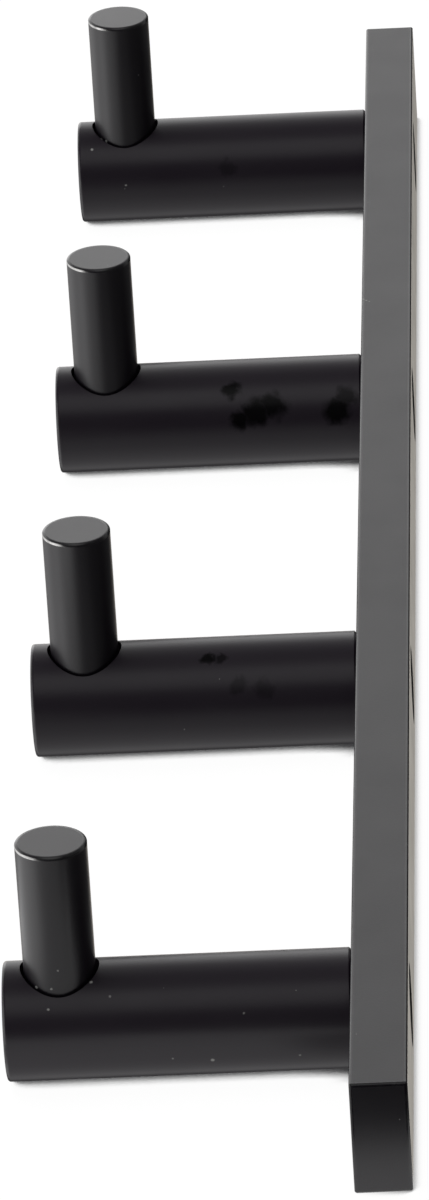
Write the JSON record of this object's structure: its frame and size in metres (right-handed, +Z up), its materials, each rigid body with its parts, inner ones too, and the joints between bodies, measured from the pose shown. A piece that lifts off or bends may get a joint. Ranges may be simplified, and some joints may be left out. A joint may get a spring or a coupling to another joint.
{
  "type": "towel hook rail",
  "caption": "Flat black wall bar with a row of round pegs, each with an upright pin near its free end that keeps a hung towel or robe from sliding off.",
  "frame": {"origin": "middle of the bar's back face, which lies on the wall", "axes": "+X along the bar, +Y into the wall, so the pegs point along -Y, +Z up, the way the pins point"},
  "size_m": [0.45, 0.067, 0.043],
  "materials": {
    "bar_coat": "satin black coat, worn thin on the back",
    "peg_coat": "satin black coat",
    "pin_coat": "satin black coat",
    "screw_steel": "plain stainless steel",
    "grub_steel": "black oxide steel"
  },
  "bodies": {
    "root": {"rail_bar": "bar_coat", "peg_1": "peg_coat", "peg_2": "peg_coat", "peg_3": "peg_coat", "peg_4": "peg_coat", "pin_1": "pin_coat", "pin_2": "pin_coat", "pin_3": "pin_coat", "pin_4": "pin_coat", "pin_stud_1": "screw_steel", "pin_stud_2": "screw_steel", "pin_stud_3": "screw_steel", "pin_stud_4": "screw_steel", "peg_screw_1": "screw_steel", "peg_screw_2": "screw_steel", "peg_screw_3": "screw_steel", "peg_screw_4": "screw_steel", "grub_screw_1": "grub_steel", "grub_screw_2": "grub_steel", "grub_screw_3": "grub_steel", "grub_screw_4": "grub_steel"}
  },
  "joints": []
}
